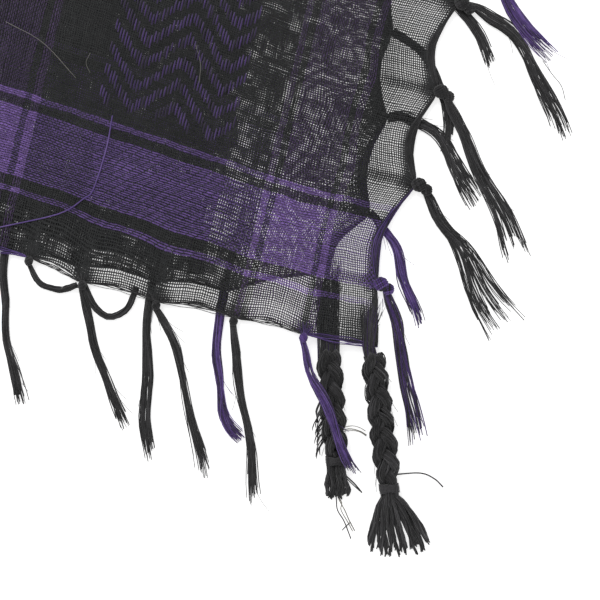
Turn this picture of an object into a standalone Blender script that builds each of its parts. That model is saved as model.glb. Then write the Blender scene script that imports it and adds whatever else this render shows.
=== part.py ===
"""A square scarf of open cotton gauze, folded twice and lying flat.

The cloth is one square with knotted tassels along its edges and a three-strand plait at each corner.
It is built as the stretches that show: the top layer, the second layer, and one rounded solid for the
layers hidden below them. Each fringe is one solid, a narrow strip beside the cloth's edge that carries
the knots and strands. Lengths are millimetres from the front corner of the top layer, with x along the
hem and y up the side edge, and they become metres where a mesh is made. The origin is the middle of
the folded square, on the surface that it lies on.
"""

import math
import random

import bmesh
import bpy
from mathutils import Vector
from mathutils.geometry import intersect_line_line_2d, intersect_point_line

MM = 0.001

# Cloth
FOLDED_SIDE = 515.0  # a square of 1.03 m, folded twice
WALL = 1.0
REST_GAP = 0.35  # between layers that lie on each other
SEAM_GAP = 0.3  # between a cloth's edge and the strip beside it
MARGIN_RISE = 0.4  # the top layer lies on the second one's tassels here
MARGIN_WIDTH = (30.0, 40.0)
MARGIN_DEPTH = (10.0, 18.0)
EDGE_PULL = 45.0  # how far a scallop pulls at the cloth

# How deep an edge is drawn in between two knots, and where the second layer's edges start
HEM_SCALLOP = 2.0
TOP_SIDE_SCALLOP = 5.0
SECOND_SIDE_SCALLOP = 4.5
DEEP_SCALLOP = 3.0  # a deeper one needs more points
SECOND_HEM_CORNER = (27.0, -24.5)  # distance along the edge, and how far it reaches out
SECOND_SIDE_CORNER = (25.0, -26.5)

# Grid lines of the cloth past its free edges: from the side edge, and from the hem
TOP_COLUMNS = [16, 23, 30, 40, 62, 68, 73, 79, 120, 170, 250, 330, 410, 480]
TOP_ROWS = [9, 14, 20, 30, 60, 120, 170, 250, 330, 410, 480]
SECOND_COLUMNS = [34, 44, 62, 66, 73, 79, 110, 178, 258, 338, 418, 478]
SECOND_ROWS = [29, 32, 36, 42, 52, 70, 110, 178, 258, 338, 418, 478]

# Hidden layers
HIDDEN_SIDE = 76.0  # from the side edge to their own edge
HIDDEN_HEM = 20.0
HIDDEN_FOLD = 2.4  # they stay inside the folds of the layers above
HIDDEN_LAYER = 1.2
HIDDEN_STEP = 3.0
HIDDEN_DRAFT = 0.05
HIDDEN_ROUND = 0.4
HIDDEN_CORNER = 6.0
HIDDEN_RISE = 2 * HIDDEN_LAYER + SEAM_GAP
SIDE_SLOPE = (62.0, 79.0)  # where the layers above come down to the surface
HEM_SLOPE = (7.0, 20.0)

# Folds along the left and the top: distance past the fold line, share of the drop
FOLD_CURL = [(-9.0, 0.0), (-3.0, 0.03), (-0.8, 0.25), (0.0, 0.62), (0.3, 1.0)]
LEFT_FOLD_END = 1.0  # height at which the top layer's left fold ends
TOP_FOLD_DROP = 2.0
SECOND_INSET = 4.0  # the second layer ends this far inside the folds

# Fringe
STRIP_HEIGHT = 1.0
STRIP_WIDTH = 1.4
RIM_EXTRA = 2.6  # gathered threads above each knot of the side edge
RIM_FADE = (0.3, 0.85)  # where they thin out, as shares of the way to the next knot
KNOT_ROOT = 3.2
KNOT_WIDTH = 4.0
KNOT_HEIGHT = 3.4
KNOT_LENGTH = 3.6
NECK_WIDTH = 3.2
NECK_HEIGHT = 1.6
# Share of a knot's length, width and height there
KNOT_ROWS = (
    (0.25, KNOT_WIDTH, KNOT_HEIGHT),
    (0.75, KNOT_WIDTH, KNOT_HEIGHT),
    (1.0, NECK_WIDTH, NECK_HEIGHT),
)
FLAT_NECK_WIDTH = 4.4
FLAT_NECK_SHARES = (0.16, 0.3)  # of a tassel's length
FLOOR_GAP = 0.3
HEM_PITCH = 31.0
SIDE_PITCH = 40.0
LAST_KNOT = 503.0
STRIP_END = 505.0
# From the corner to where each strip starts
CORNER_CLEAR = {"second_hem": 7.0, "second_side": 0.7, "top_hem": 7.0, "top_side": 1.2}

# Strands of a tassel, and the shares of its length where they have a section
TOP_STRANDS = 4
TOP_SHARES = (0.14, 0.42, 0.72, 1.0)
SECOND_STRANDS = 3
SECOND_SHARES = (0.48, 0.75, 1.0)
STRAND_HEIGHT = 1.1
STRAND_WIDTH = 1.5
STRAND_FILL = 0.8  # of its lane
FIRST_DROP = 0.6  # height kept from the knot to the first section
REACH = (0.9, 1.0)

# Tassels that the photograph doesn't show singly
TASSEL_LENGTH = 66.0
LENGTH_SHARES = (0.92, 1.05)
HEM_LEAN = Vector((0.36, -0.93))  # the tassels lie combed towards one side
SIDE_LEAN = Vector((0.74, -0.67))
LEAN_TURN = 7.0  # degrees
BEND = 3.0
SPREAD = (5, 8)

# Plaits
PLAIT_SWING = 4.3  # sideways travel of a strand from the middle
PLAIT_WEAVE = 2.05  # its travel up and down
PLAIT_STRAND = (4.5, 3.3)  # width and height
PLAIT_PERIOD = 32.0
PLAIT_RINGS = 18  # for each period
PLAIT_FIRST = 1.2  # steps from the head to a strand's first section
PLAIT_FIRST_STRAND = (2.6, 2.0)
PLAIT_HEAD = (8.6, 2.6)
BINDING_WIDTH = 8.4
BINDING_HEIGHT = 6.0
BINDING_LENGTH = 6.0
BINDING_SINK = 0.6  # it comes down to the surface towards the brush
BINDING_END = 6.6  # width of both its ends
# Share of the binding's length, width and height there
BINDING_ROWS = (
    (0.0, BINDING_END, 4.4),
    (0.25, BINDING_WIDTH, BINDING_HEIGHT),
    (0.8, BINDING_WIDTH - 1, BINDING_HEIGHT - 1),
    (1.0, BINDING_END, 3.6),
)
BRUSH_ACROSS = 6
BRUSH_UP = 2
BRUSH_SHARES = (0.3, 0.65, 1.0)
BRUSH_ROUND = 0.5  # its outer locks are shorter
UPPER_SHIFT = 0.35
UPPER_REACH = 0.94
LOCK_FILL = 0.72
LOCK_WIDTH = 2.6
FRONT_BRUSH = (27.0, 31.0)  # length and fanned width
BACK_BRUSH = (14.0, 13.0)

# Knots that the photograph shows: distance along the edge, how far the edge reaches out there
KNOTS = {
    "top_hem": [(31, 1.8), (61, 1.8), (94, 2.8), (126, 1.8), (150, -3.0)],
    "top_side": [(26, -6.0), (70, 0.0), (110, 0.0), (148, 0.0)],
    "second_hem": [(68, -8.0), (98, -5.0), (130, -4.0), (161, -3.0)],
    "second_side": [(54, -16.0), (94, -18.0), (130, -24.0), (168, -24.0)],
}

# Tassels that the photograph shows, by their knot: middle point, end point, width of the fanned end
TASSELS = {
    "top_hem": {
        31: ((-17, -27), (4, -54), 5.5),
        61: ((-50, -35), (-35, -73), 6.0),
        94: ((-78, -28), (-58, -70), 6.5),
        126: ((-114, -28), (-96, -55), 6.0),
    },
    "top_side": {
        26: ((10, 1), (25, -36), 8.0),
        70: ((22, 50), (49, 22), 14.0),
        110: ((23, 84), (48, 53), 12.0),
        148: ((29, 137), (54, 105), 8.0),
        188: ((13, 161), (42, 137), 6.0),
    },
    "second_hem": {
        68: ((-61, -31), (-46, -51), 4.5),
        98: ((-92, -32), (-82, -65), 5.5),
        161: ((-153, -29), (-138, -58), 5.0),
    },
    "second_side": {
        54: ((-1, 40), (15, 12), 5.0),
        94: ((2, 93), (27, 68), 8.0),
        130: ((-2, 116), (9, 87), 4.5),
        168: ((-1, 149), (19, 126), 6.0),
    },
}

# Cords that loop back under the hem, by their knot
LOOPS = {
    "top_hem": {150: [(-145, -5.5), (-140, -7.2), (-135, -7.2), (-131.5, -5.8)]},
    "second_hem": {130: [(-124, -5), (-119, -11), (-112, -13.5), (-106, -9), (-104.5, -3), (-104, 1.5)]},
}
LOOP_WIDTH = 2.8

BACK_NECK = [Vector((-27.0, 23.0)), Vector((-20.4, -2.5))]
NECK_COVER = (8.0, 17.0)
NECK_TOP = 3.2
BACK_PLAIT = [Vector((-19.3, -6.5)), Vector((-6.7, -48.0))]
FRONT_NECK = [Vector((-1.9, -0.1)), Vector((-1.5, -1.8))]
FRONT_PLAIT = [Vector((-1.0, -3.5)), Vector((17.5, -54.0))]

CHARCOAL = (0.030, 0.031, 0.035, 1.0)
CHARCOAL_TWISTED = (0.036, 0.038, 0.043, 1.0)
COTTON_ROUGHNESS = 0.9


def ramp(low, high, value):
    """0 below low, 1 above high, with a soft slope between."""
    share = min(max((value - low) / (high - low), 0.0), 1.0)
    return share * share * (3 - 2 * share)


def flat_distance(point, start, end):
    """Distance from a point to a stretch of line, seen from above."""
    nearest, share = intersect_point_line(point, start, end)
    share = min(max(share, 0.0), 1.0)
    return (point - start.lerp(end, share)).length


def place(x, y, z):
    """A point in millimetres from the front corner, as metres from the part's origin."""
    return Vector((x + FOLDED_SIDE / 2, y - FOLDED_SIDE / 2, z)) * MM


def second_under(x, y):
    """Height of the second layer's underside."""
    return HIDDEN_RISE * ramp(*SIDE_SLOPE, -x) * ramp(*HEM_SLOPE, y)


def top_under(x, y):
    """Height of the top layer's underside, with a low hump over the neck of the back plait."""
    margin = max(1 - ramp(*MARGIN_WIDTH, -x), 1 - ramp(*MARGIN_DEPTH, y))
    cover = 1 - ramp(*NECK_COVER, flat_distance(Vector((x, y)), *BACK_NECK))
    lying = second_under(x, y) + WALL + REST_GAP + MARGIN_RISE * margin
    return lying + cover * (NECK_TOP - WALL - MARGIN_RISE * margin)


class Edge:
    """A free edge of one layer, measured along from the front corner and outward from its axes."""

    def __init__(self, name, along, outward, corner, knots, depth, rim_extra, under):
        self.name = name
        self.along = Vector(along)
        self.outward = Vector(outward)
        self.corner = corner
        self.knots = knots
        self.depth = depth
        self.rim_extra = rim_extra
        self.under = under

    def stretch(self, station):
        """The two fixed points around a station, and how far it is between their knots."""
        fixed = [self.corner] + self.knots + [(FOLDED_SIDE, self.knots[-1][1])]
        low = max([0] + [i for i in range(len(fixed) - 1) if fixed[i][0] <= station])
        start, end = fixed[low][0] + KNOT_ROOT / 2, fixed[low + 1][0] - KNOT_ROOT / 2
        share = min(max((station - start) / (end - start), 0.0), 1.0)
        return fixed[low], fixed[low + 1], share

    def outer(self, station):
        """How far the edge reaches out: it is drawn in between knots."""
        low, high, share = self.stretch(station)
        depth = self.depth if high[0] < FOLDED_SIDE else 0.0
        return low[1] + (high[1] - low[1]) * share - depth * math.sin(math.pi * share)

    def rim(self, station):
        """Width of the strip of gathered threads."""
        share = self.stretch(station)[2]
        return STRIP_WIDTH + self.rim_extra * (1 - ramp(*RIM_FADE, share))

    def cloth(self, station):
        return self.outer(station) - self.rim(station) - SEAM_GAP

    def point(self, station, out):
        return self.along * station + self.outward * out

    def stations(self):
        """Where the edge needs a point: on both sides of each knot, and between knots."""
        shares = (0.25, 0.5, 0.75) if self.depth > DEEP_SCALLOP else (0.5,)
        fixed = [self.corner[0]] + [knot[0] for knot in self.knots] + [FOLDED_SIDE]
        result = []
        for low, high in zip(fixed, fixed[1:]):
            result += [low + (high - low) * share for share in shares]
            result += [high - KNOT_ROOT / 2, high + KNOT_ROOT / 2]
        return [station for station in result if station < STRIP_END]


def all_knots(name, pitch):
    """The knots of an edge: those that show, then more at the same pitch up to the fold."""
    knots = list(KNOTS[name])
    while knots[-1][0] + pitch < LAST_KNOT:
        out = KNOTS[name][-2][1] if name == "top_hem" else knots[-1][1]
        knots.append((knots[-1][0] + pitch, out))
    return knots


def make_edges():
    hem, side = ((-1, 0), (0, -1), HEM_PITCH), ((0, 1), (1, 0), SIDE_PITCH)
    rows = {
        "top_hem": (hem, (0.0, 0.0), HEM_SCALLOP, 0.0, top_under),
        "top_side": (side, (0.0, 0.0), TOP_SIDE_SCALLOP, RIM_EXTRA, top_under),
        "second_hem": (hem, SECOND_HEM_CORNER, HEM_SCALLOP, 0.0, second_under),
        "second_side": (side, SECOND_SIDE_CORNER, SECOND_SIDE_SCALLOP, 0.0, second_under),
    }
    return {
        name: Edge(name, along, outward, corner, all_knots(name, pitch), depth, rim_extra, under)
        for name, ((along, outward, pitch), corner, depth, rim_extra, under) in rows.items()
    }


def cotton(name, colour):
    material = bpy.data.materials.new(name)
    material.use_nodes = True
    shader = material.node_tree.nodes["Principled BSDF"]
    shader.inputs["Base Color"].default_value = colour
    shader.inputs["Roughness"].default_value = COTTON_ROUGHNESS
    shader.inputs["Metallic"].default_value = 0.0
    return material


def add_object(name, bm, material, collection):
    mesh = bpy.data.meshes.new(name)
    bmesh.ops.recalc_face_normals(bm, faces=bm.faces)
    bm.to_mesh(mesh)
    bm.free()
    obj = bpy.data.objects.new(name, mesh)
    obj.data.materials.append(material)
    collection.objects.link(obj)
    return obj


def turned_back(nominal):
    """Past a fold line, the cloth goes back under itself."""
    return FOLDED_SIDE - abs(FOLDED_SIDE - nominal)


def curl_share(nominal):
    """How much of the drop over a fold is behind a point."""
    past = nominal - FOLDED_SIDE
    for (a, low), (b, high) in zip(FOLD_CURL, FOLD_CURL[1:]):
        if past <= b + 1e-4:
            return low + (high - low) * max(past - a, 0.0) / (b - a)
    return 1.0


def subdivide_boundary(bm, edge, axis, stations):
    """Cuts one boundary edge at each station between its ends. Coordinates are still nominal ones."""
    low, high = sorted(edge.verts, key=lambda vert: vert.co[axis])
    between = [s for s in stations if low.co[axis] + 0.5 < s < high.co[axis] - 0.5]
    if not between:
        return
    level = low.co[1 - axis]
    made = bmesh.ops.subdivide_edges(bm, edges=[edge], cuts=len(between))["geom_inner"]
    fresh = sorted((g for g in made if isinstance(g, bmesh.types.BMVert)), key=lambda vert: vert.co[axis])
    for vert, station in zip(fresh, between):
        vert.co[axis] = station
        vert.co[1 - axis] = level


def cloth_panel(name, side, hem, columns, rows, height, material, collection):
    """One layer: a grid of nominal distances, cut finer at its free edges, then drawn to shape."""
    bm = bmesh.new()
    bmesh.ops.create_grid(bm, x_segments=len(columns) - 1, y_segments=len(rows) - 1, size=0.5)
    for vert in bm.verts:
        column = round((vert.co.x + 0.5) * (len(columns) - 1))
        row = round((vert.co.y + 0.5) * (len(rows) - 1))
        vert.co = (columns[column], rows[row], 0.0)
    for edge in [e for e in bm.edges if e.is_boundary]:
        a, b = edge.verts
        if max(a.co.y, b.co.y) < rows[0] + 0.01:
            subdivide_boundary(bm, edge, 0, hem.stations())
        elif max(a.co.x, b.co.x) < columns[0] + 0.01:
            subdivide_boundary(bm, edge, 1, side.stations())
    for vert in bm.verts:
        a, b = vert.co.x, vert.co.y
        x = (side.cloth(b) + columns[0]) * (1 - ramp(0, EDGE_PULL, a - columns[0])) - turned_back(a)
        y = turned_back(b) - (hem.cloth(a) + rows[0]) * (1 - ramp(0, EDGE_PULL, b - rows[0]))
        vert.co = place(x, y, height(x, y, a, b))
    bmesh.ops.recalc_face_normals(bm, faces=bm.faces)
    if sum(face.normal.z for face in bm.faces) < 0:
        bmesh.ops.reverse_faces(bm, faces=bm.faces)
    mesh = bpy.data.meshes.new(name)
    bm.to_mesh(mesh)
    bm.free()
    obj = bpy.data.objects.new(name, mesh)
    obj.data.materials.append(material)
    collection.objects.link(obj)
    wall = obj.modifiers.new("wall", "SOLIDIFY")
    wall.thickness = WALL * MM
    wall.offset = -1.0
    wall.use_quality_normals = True
    return obj


def top_height(x, y, a, b):
    """Height of the top layer's upper face, which rolls down over the two folds."""
    rest = top_under(x, y) + WALL
    return rest - max((rest - LEFT_FOLD_END) * curl_share(a), TOP_FOLD_DROP * curl_share(b))


def second_height(x, y, *_):
    return second_under(x, y) + WALL


def corner_of(side, hem):
    """Where the cloth's two free edges meet, found by going back and forth between them."""
    a, b = 0.0, 0.0
    for _ in range(20):
        a, b = -side.cloth(b), -hem.cloth(a)
    return a, b


def make_panels(edges, material, collection):
    curl = [FOLDED_SIDE + past for past, _ in FOLD_CURL]
    end = [FOLDED_SIDE - SECOND_INSET]
    side, hem = edges["top_side"], edges["top_hem"]
    a, b = corner_of(side, hem)
    columns, rows = [a] + TOP_COLUMNS + curl, [b] + TOP_ROWS + curl
    cloth_panel("top_panel", side, hem, columns, rows, top_height, material, collection)
    side, hem = edges["second_side"], edges["second_hem"]
    a, b = corner_of(side, hem)
    columns, rows = [a] + SECOND_COLUMNS + end, [b] + SECOND_ROWS + end
    cloth_panel("second_panel", side, hem, columns, rows, second_height, material, collection)


def make_under_fold(material, collection):
    """The hidden layers, as one solid with a step round its edges where one layer ends before the other."""
    far = FOLDED_SIDE - HIDDEN_FOLD
    size = Vector((far - HIDDEN_SIDE, far - HIDDEN_HEM))
    centre = Vector((-(far + HIDDEN_SIDE) / 2, (far + HIDDEN_HEM) / 2))
    lower = HIDDEN_LAYER - HIDDEN_ROUND
    bm = bmesh.new()
    bmesh.ops.create_cube(bm, size=1.0)
    for vert in bm.verts:
        vert.co = (
            centre.x + vert.co.x * size.x,
            centre.y + vert.co.y * size.y,
            lower * (vert.co.z + 0.5),
        )
    upright = [e for e in bm.edges if abs(e.verts[0].co.z - e.verts[1].co.z) > lower / 2]
    bmesh.ops.bevel(bm, geom=upright, offset=HIDDEN_CORNER, segments=4, profile=0.5, affect="EDGES")
    top = max(bm.faces, key=lambda face: face.calc_center_median().z)
    inset = bmesh.ops.inset_individual
    inset(bm, faces=[top], thickness=HIDDEN_ROUND, depth=HIDDEN_ROUND, use_even_offset=True)
    inset(bm, faces=[top], thickness=HIDDEN_STEP, depth=0.0, use_even_offset=True)
    inset(bm, faces=[top], thickness=HIDDEN_DRAFT, depth=lower, use_even_offset=True)
    inset(bm, faces=[top], thickness=HIDDEN_ROUND, depth=HIDDEN_ROUND, use_even_offset=True)
    for vert in bm.verts:
        vert.co = place(*vert.co)
    add_object("under_fold", bm, material, collection)


class Solid:
    """One mesh that grows from a first block by extruding faces. A section is four corners in order:
    low near, low far, high far, high near, where near and far are sides along the edge or lane."""

    def __init__(self, first, second):
        self.bm = bmesh.new()
        made = bmesh.ops.create_cube(self.bm, size=2.0)["verts"]
        order = [(-1, -1), (1, -1), (1, 1), (-1, 1)]
        ends = []
        for level, section in ((-1, first), (1, second)):
            spots = {(round(v.co.x), round(v.co.z)): v for v in made if round(v.co.y) == level}
            ends.append([(spots[key], corner) for key, corner in zip(order, section)])
        for vert, corner in ends[0] + ends[1]:
            vert.co = corner
        self.corners = [vert for vert, _ in ends[1]]
        self.face = self.face_with(self.corners)

    def face_with(self, corners):
        return next(f for f in corners[0].link_faces if set(f.verts) == set(corners))

    def grow(self, face, corners, section):
        """Extrudes a face to a new section, and returns it with its corners in the same order."""
        face = bmesh.ops.extrude_discrete_faces(self.bm, faces=[face])["faces"][0]
        moved = set(face.verts)
        ends = [[edge.other_vert(vert) for edge in vert.link_edges] for vert in corners]
        corners = [next(vert for vert in near if vert in moved) for near in ends]
        for vert, corner in zip(corners, section):
            vert.co = corner
        return face, corners

    def cut(self, start, end, count):
        """Cuts an edge into equal stretches, and returns its points from start to end."""
        points = [start]
        for left in range(count, 1, -1):
            edge = next(e for e in points[-1].link_edges if e.other_vert(points[-1]) is end)
            points.append(bmesh.utils.edge_split(edge, points[-1], 1.0 / left)[1])
        return points + [end]

    def split_across(self, face, corners, count):
        """Cuts a face into a row of faces, and returns each with its corners."""
        low = self.cut(corners[0], corners[1], count)
        high = self.cut(corners[3], corners[2], count)
        for a, b in list(zip(low, high))[1:-1]:
            bmesh.utils.face_split(self.face_through(a, b), a, b)
        rows = [[low[i], low[i + 1], high[i + 1], high[i]] for i in range(count)]
        return [(self.face_with(row), row) for row in rows]

    def split_up(self, parts):
        """Cuts each face of a row in two, one above the other."""
        posts = {}
        result = []
        for face, (a, b, c, d) in parts:
            for low, high in ((a, d), (b, c)):
                if low not in posts:
                    posts[low] = self.cut(low, high, 2)[1]
            near, far = posts[a], posts[b]
            bmesh.utils.face_split(self.face_through(near, far), near, far)
            for row in ([a, b, far, near], [near, far, c, d]):
                result.append((self.face_with(row), row))
        return result

    def face_through(self, a, b):
        return next(f for f in a.link_faces if b in f.verts)


def section(centre, height_at, across, width, height):
    """Four corners of an upright oblong: centre is seen from above, height_at is its lower side."""
    near, far = centre - across * width / 2, centre + across * width / 2
    low, high = height_at, height_at + height
    return [place(*near, low), place(*far, low), place(*far, high), place(*near, high)]


def lozenge(centre, middle, across, width, height):
    """Four corners of an upright lozenge: low, far, high, near."""
    near, far = centre - across * width / 2, centre + across * width / 2
    return [
        place(*centre, middle - height / 2),
        place(*far, middle),
        place(*centre, middle + height / 2),
        place(*near, middle),
    ]


def bow(start, middle, end, share):
    """A point on a soft curve through three points, and the curve's heading there."""
    pull = middle * 2 - (start + end) / 2
    point = start * (1 - share) ** 2 + pull * 2 * share * (1 - share) + end * share**2
    heading = (pull - start) * 2 * (1 - share) + (end - pull) * 2 * share
    return point, heading.normalized()


def apart(p, q, a, b):
    """Distance between two stretches of line, seen from above."""
    if intersect_line_line_2d(p, q, a, b):
        return 0.0
    ends = ((p, a, b), (q, a, b), (a, p, q), (b, p, q))
    return min(flat_distance(*end) for end in ends)


def lifted(points, lows, below, half_width):
    """Raises the low sides of a strand where it lies over something."""
    lows = list(lows)
    for i, (p, q) in enumerate(zip(points, points[1:])):
        tops = [top for a, b, half, top in below if apart(p, q, a, b) < half + half_width + FLOOR_GAP]
        if tops:
            for end in (i, i + 1):
                lows[end] = max(lows[end], max(tops) + REST_GAP)
    return lows


class Fringe:
    """The strip along one edge with its knots and strands, as one solid."""

    def __init__(self, edge, strands, shares, below, rng):
        self.edge = edge
        self.strands = strands
        self.shares = shares
        self.below = below
        self.rng = rng
        self.laid = []
        self.turn = 1 if edge.outward.y < 0 else -1

    def across(self, heading):
        """The level direction that keeps near and far the same way round as along the edge."""
        return Vector((heading.y, -heading.x)) * self.turn

    def strip_section(self, station):
        edge = self.edge
        outer, rim = edge.outer(station), edge.rim(station)
        near, far = edge.point(station, outer - rim), edge.point(station, outer)
        low = edge.under(*edge.point(station, outer - rim / 2)) + (0 if self.below else FLOOR_GAP)
        high = low + STRIP_HEIGHT
        return [place(*near, low), place(*far, low), place(*far, high), place(*near, high)]

    def build(self):
        """Makes the strip from the corner to the fold, then grows a tassel at every knot."""
        roots = [knot[0] for knot in self.edge.knots]
        first = self.edge.corner[0] + CORNER_CLEAR[self.edge.name]
        stations = [first] + [s for s in self.edge.stations() if s > first + 1] + [STRIP_END]
        solid = Solid(self.strip_section(stations[0]), self.strip_section(stations[1]))
        face, corners = solid.face, solid.corners
        sides = []
        for low, high in zip(stations[1:], stations[2:]):
            past = corners
            face, corners = solid.grow(face, corners, self.strip_section(high))
            root = next((r for r in roots if abs((low + high) / 2 - r) < 0.01), None)
            if root is not None:
                sides.append((root, [past[1], corners[1], corners[2], past[2]]))
        for root, side in sides:
            self.tassel(solid, root, solid.face_with(side), side)
        return solid.bm

    def route(self, root, start):
        """Middle, end and fanned width of a tassel: as the photograph shows, or like its neighbours."""
        known = TASSELS[self.edge.name].get(root)
        if known:
            return Vector(known[0]), Vector(known[1]), known[2]
        lean = HEM_LEAN if self.edge.outward.y < 0 else SIDE_LEAN
        turn = math.radians(self.rng.uniform(-LEAN_TURN, LEAN_TURN))
        heading = Vector((
            lean.x * math.cos(turn) - lean.y * math.sin(turn),
            lean.x * math.sin(turn) + lean.y * math.cos(turn),
        ))
        length = TASSEL_LENGTH * self.rng.uniform(*LENGTH_SHARES)
        aside = Vector((-heading.y, heading.x)) * self.rng.uniform(-BEND, BEND)
        return start + heading * length / 2 + aside, start + heading * length, self.rng.uniform(*SPREAD)

    def head(self, solid, root, face, side):
        """A round knot, or a flat band for the second layer, whose tassels start below the top one."""
        edge = self.edge
        start = edge.point(root, edge.outer(root))
        low = edge.under(*start)
        if not self.below:
            return face, side, start, FLOOR_GAP
        for share, width, height in KNOT_ROWS:
            centre = start + edge.outward * KNOT_LENGTH * share
            face, side = solid.grow(face, side, section(centre, low, edge.along, width, height))
        return face, side, start + edge.outward * KNOT_LENGTH, low

    def tassel(self, solid, root, face, side):
        face, side, start, low = self.head(solid, root, face, side)
        loop = LOOPS.get(self.edge.name, {}).get(root)
        if loop:
            self.loop(solid, face, side, start, [Vector(point) for point in loop])
            return
        middle, end, spread = self.route(root, start)
        if not self.below:
            band = [start]
            for share in FLAT_NECK_SHARES:
                point, heading = bow(start, middle, end, share)
                shape = section(point, FLOOR_GAP, self.across(heading), FLAT_NECK_WIDTH, STRAND_HEIGHT)
                face, side = solid.grow(face, side, shape)
                band.append(point)
            self.note(band, FLAT_NECK_WIDTH / 2)
        narrow = (NECK_WIDTH if self.below else FLAT_NECK_WIDTH) / self.strands
        wide = spread / (self.strands - 1)
        for number, (part, corners) in enumerate(solid.split_across(face, side, self.strands)):
            reach = self.rng.uniform(*REACH)
            points, rows = [start], []
            for share in self.shares:
                point, heading = bow(start, middle, end, share * reach)
                pitch = narrow + (wide - narrow) * share * reach
                across = self.across(heading)
                points.append(point + across * pitch * (number - (self.strands - 1) / 2))
                rows.append((across, min(pitch * STRAND_FILL, STRAND_WIDTH)))
            lows = lifted(points, [low] + [FLOOR_GAP] * len(rows), self.below, STRAND_WIDTH / 2)
            if self.below:
                lows[1] = max(lows[1], low * FIRST_DROP)
            for point, height, (across, width) in zip(points[1:], lows[1:], rows):
                shape = section(point, height, across, width, STRAND_HEIGHT)
                part, corners = solid.grow(part, corners, shape)
            self.note(points, STRAND_WIDTH / 2)

    def loop(self, solid, face, side, start, points):
        """A cord that comes out of a knot and goes back under the hem."""
        heads = [start] + points
        lows = lifted(heads, [FLOOR_GAP] * len(heads), self.below, LOOP_WIDTH / 2)
        for i, (point, low) in enumerate(zip(points, lows[1:])):
            after = points[min(i + 1, len(points) - 1)]
            across = self.across((after - heads[i]).normalized())
            shape = section(point, low, across, LOOP_WIDTH, STRAND_HEIGHT)
            face, side = solid.grow(face, side, shape)
        self.note(heads, LOOP_WIDTH / 2)

    def note(self, points, half_width):
        """Keeps what lies here, for what is laid over it."""
        top = FLOOR_GAP + STRAND_HEIGHT
        self.laid += [(a, b, half_width, top) for a, b in zip(points, points[1:])]


def plait(name, neck, neck_low, line, material, collection):
    """A head that splits into three strands, which weave over and under each other."""
    start, end = line
    length = (end - start).length
    heading = (end - start) / length
    across = Vector((heading.y, -heading.x))
    middle = FLOOR_GAP + PLAIT_WEAVE + PLAIT_STRAND[1] / 2
    solid = Solid(*(section(point, neck_low, across, *PLAIT_HEAD) for point in neck))
    shape = section(start, middle - PLAIT_HEAD[1] / 2, across, *PLAIT_HEAD)
    face, corners = solid.grow(solid.face, solid.corners, shape)
    parts = solid.split_across(face, corners, 3)
    step = PLAIT_PERIOD / PLAIT_RINGS
    travelled = [step * (i + PLAIT_FIRST) for i in range(int(length / step))]
    travelled = [s for s in travelled if s < length]
    for (part, corners), phase in zip(parts, (-1, 0, 1)):
        for number, way in enumerate(travelled):
            angle = 2 * math.pi * (way / PLAIT_PERIOD + phase / 3)
            spot = start + heading * way + across * PLAIT_SWING * math.sin(angle)
            rise = middle + PLAIT_WEAVE * math.sin(2 * angle)
            width, height = PLAIT_STRAND if number else PLAIT_FIRST_STRAND
            part, corners = solid.grow(part, corners, lozenge(spot, rise, across, width, height))
    add_object(name, solid.bm, material, collection)
    return start + heading * travelled[-1], heading, middle


def brush(name, begin, length, spread, material, collection):
    """The bound end of a plait and its loose locks, in two rows. Returns the end of its binding."""
    start, heading, middle = begin
    across = Vector((heading.y, -heading.x))
    first = start + heading * SEAM_GAP
    shapes = []
    for share, width, height in BINDING_ROWS:
        centre = first + heading * BINDING_LENGTH * share
        low = max(middle - BINDING_SINK * share * middle - height / 2, FLOOR_GAP)
        shapes.append(section(centre, low, across, width, height))
    solid = Solid(shapes[0], shapes[1])
    face, corners = solid.face, solid.corners
    for shape in shapes[2:]:
        face, corners = solid.grow(face, corners, shape)
    parts = solid.split_up(solid.split_across(face, corners, BRUSH_ACROSS))
    root = first + heading * BINDING_LENGTH
    for number, (part, corners) in enumerate(parts):
        column, upper = divmod(number, BRUSH_UP)
        lane = (column + 0.5 + UPPER_SHIFT * upper) / BRUSH_ACROSS - 0.5
        reach = length * (1 - BRUSH_ROUND * lane * lane) * (UPPER_REACH if upper else 1.0)
        for share in BRUSH_SHARES:
            width = BINDING_END + (spread - BINDING_END) * share
            point = root + heading * reach * share + across * width * lane
            low = FLOOR_GAP + upper * (STRAND_HEIGHT + REST_GAP)
            thick = min(width / BRUSH_ACROSS * LOCK_FILL, LOCK_WIDTH)
            part, corners = solid.grow(part, corners, section(point, low, across, thick, STRAND_HEIGHT))
    add_object(name, solid.bm, material, collection)
    return root


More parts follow.
